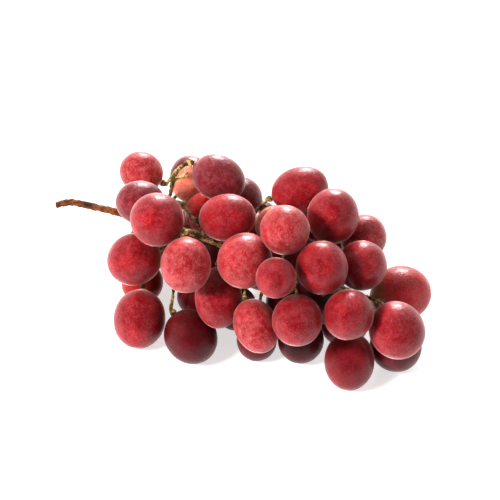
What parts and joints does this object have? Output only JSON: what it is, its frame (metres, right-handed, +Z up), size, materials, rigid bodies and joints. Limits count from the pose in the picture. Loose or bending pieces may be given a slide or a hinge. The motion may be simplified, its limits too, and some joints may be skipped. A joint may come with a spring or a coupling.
{
  "type": "bunch of grapes",
  "caption": "Small bunch of ripe red table grapes lying on its side, with a bare woody stalk at one end and branching stems between the berries.",
  "frame": {"origin": "under the middle of the bunch, on the surface it lies on", "axes": "+X along the bunch from its cut stalk to its tip, +Z up"},
  "size_m": [0.1462, 0.1102, 0.0701],
  "materials": {
    "ripe_skin": "smooth fruit skin, half-matt under a thin waxy bloom",
    "dark_skin": "smooth dark red fruit skin, half-matt under a thin waxy bloom",
    "dusky_skin": "smooth red-violet fruit skin, matt under a thicker waxy bloom",
    "stem": "dry ridged woody stalk, matt"
  },
  "bodies": {
    "root": {"stem": "stem", "berry_01": "ripe_skin", "berry_02": "dusky_skin", "berry_03": "ripe_skin", "berry_04": "ripe_skin", "berry_05": "ripe_skin", "berry_06": "dark_skin", "berry_07": "dark_skin", "berry_08": "dark_skin", "berry_09": "ripe_skin", "berry_10": "dark_skin", "berry_11": "dark_skin", "berry_12": "ripe_skin", "berry_13": "ripe_skin", "berry_14": "dark_skin", "berry_15": "ripe_skin", "berry_16": "dark_skin", "berry_17": "ripe_skin", "berry_18": "dusky_skin", "berry_19": "dark_skin", "berry_20": "ripe_skin", "berry_21": "ripe_skin", "berry_22": "dusky_skin", "berry_23": "dark_skin", "berry_24": "ripe_skin", "berry_25": "ripe_skin", "berry_26": "dusky_skin", "berry_27": "ripe_skin", "berry_28": "ripe_skin", "berry_29": "ripe_skin", "berry_30": "dusky_skin", "berry_31": "ripe_skin", "berry_32": "ripe_skin", "berry_33": "ripe_skin", "berry_34": "dusky_skin", "berry_35": "ripe_skin", "berry_36": "dark_skin", "berry_37": "ripe_skin", "berry_38": "dark_skin", "berry_39": "dark_skin", "berry_40": "dark_skin", "berry_41": "dark_skin", "berry_42": "dark_skin", "berry_43": "dark_skin", "berry_44": "dark_skin", "berry_45": "dark_skin", "berry_46": "dusky_skin", "berry_47": "ripe_skin", "berry_48": "ripe_skin", "berry_49": "ripe_skin"}
  },
  "joints": []
}
